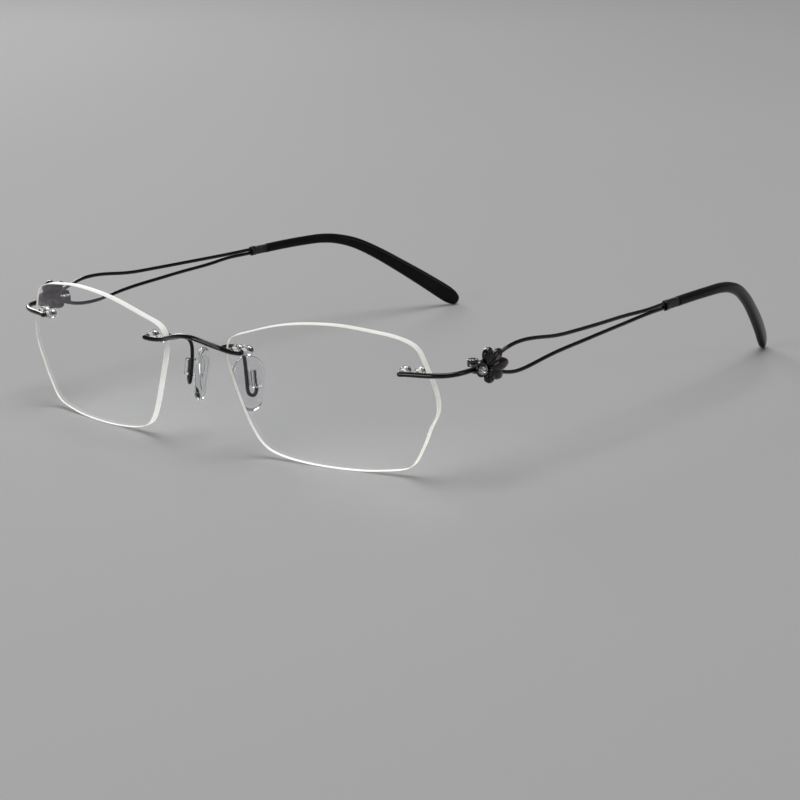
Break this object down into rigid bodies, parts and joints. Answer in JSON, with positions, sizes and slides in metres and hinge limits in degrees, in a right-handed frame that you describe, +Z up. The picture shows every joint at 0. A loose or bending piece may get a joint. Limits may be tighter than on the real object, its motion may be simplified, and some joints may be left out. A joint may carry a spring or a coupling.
{
  "type": "rimless eyeglasses",
  "caption": "Rimless eyeglasses: clear drilled lenses joined by a wire bridge, wire nose-pad arms, folding twin-wire temples with a flower at the hinge and curved ear tips",
  "frame": {"origin": "on the surface the glasses stand on, in the middle of the whole object", "axes": "+Z up, -Y the front of the lenses, +X the wearer's left, temples running back along +Y"},
  "size_m": [0.1396, 0.1496, 0.0319],
  "materials": {
    "lens_clear": "polished plastic lens, anti-reflection coated",
    "black_metal": "gloss black coating on thin wire and small castings",
    "screw_metal": "satin black",
    "bright_metal": "dark nickel-silver",
    "black_plastic": "satin black acetate",
    "clear_silicone": "clear silicone",
    "clear_plastic": "clear polycarbonate",
    "crystal": "cut rhinestone"
  },
  "bodies": {
    "front": {"bridge": "black_metal", "lens_left": "lens_clear", "lens_right": "lens_clear", "endpiece_left": "black_metal", "endpiece_right": "black_metal", "pad_arm_left": "black_metal", "pad_arm_right": "black_metal", "hinge_front_left": "black_metal", "hinge_front_right": "black_metal", "nasal_bushing_1_left": "clear_plastic", "nasal_bushing_1_right": "clear_plastic", "nasal_bushing_2_left": "clear_plastic", "nasal_bushing_2_right": "clear_plastic", "temporal_bushing_1_left": "clear_plastic", "temporal_bushing_1_right": "clear_plastic", "temporal_bushing_2_left": "clear_plastic", "temporal_bushing_2_right": "clear_plastic"},
    "temple_left": {"hinge_rear_left": "black_metal", "hinge_screw_left": "screw_metal", "flower_left": "black_metal", "stone_cup_left": "bright_metal", "stone_left": "crystal", "temple_wire_upper_left": "black_metal", "temple_wire_lower_left": "black_metal", "ferrule_left": "bright_metal", "temple_core_left": "bright_metal", "temple_tip_left": "black_plastic"},
    "pad_left": {"nose_pad_left": "clear_silicone", "pad_insert_left": "clear_plastic"},
    "temple_right": {"hinge_rear_right": "black_metal", "hinge_screw_right": "screw_metal", "flower_right": "black_metal", "stone_cup_right": "bright_metal", "stone_right": "crystal", "temple_wire_upper_right": "black_metal", "temple_wire_lower_right": "black_metal", "ferrule_right": "bright_metal", "temple_core_right": "bright_metal", "temple_tip_right": "black_plastic"},
    "pad_right": {"nose_pad_right": "clear_silicone", "pad_insert_right": "clear_plastic"}
  },
  "joints": [
    {"name": "fold_left", "type": "hinge", "parent": "front", "child": "temple_left", "pos_m": [0.0634, -0.05269, 0.0231], "axis": [0, 0, 1], "range_deg": [0, 86]},
    {"name": "fold_right", "type": "hinge", "parent": "front", "child": "temple_right", "pos_m": [-0.0634, -0.05269, 0.0231], "axis": [0, 0, -1], "range_deg": [0, 78]},
    {"name": "pad_rock_left", "type": "hinge", "parent": "front", "child": "pad_left", "pos_m": [0.01068, -0.06363, 0.01515], "axis": [-0.1212, 0.0507, 0.9913], "range_deg": [-8, 5]},
    {"name": "pad_rock_right", "type": "hinge", "parent": "front", "child": "pad_right", "pos_m": [-0.01068, -0.06363, 0.01515], "axis": [-0.1212, -0.0507, -0.9913], "range_deg": [-8, 5]}
  ]
}
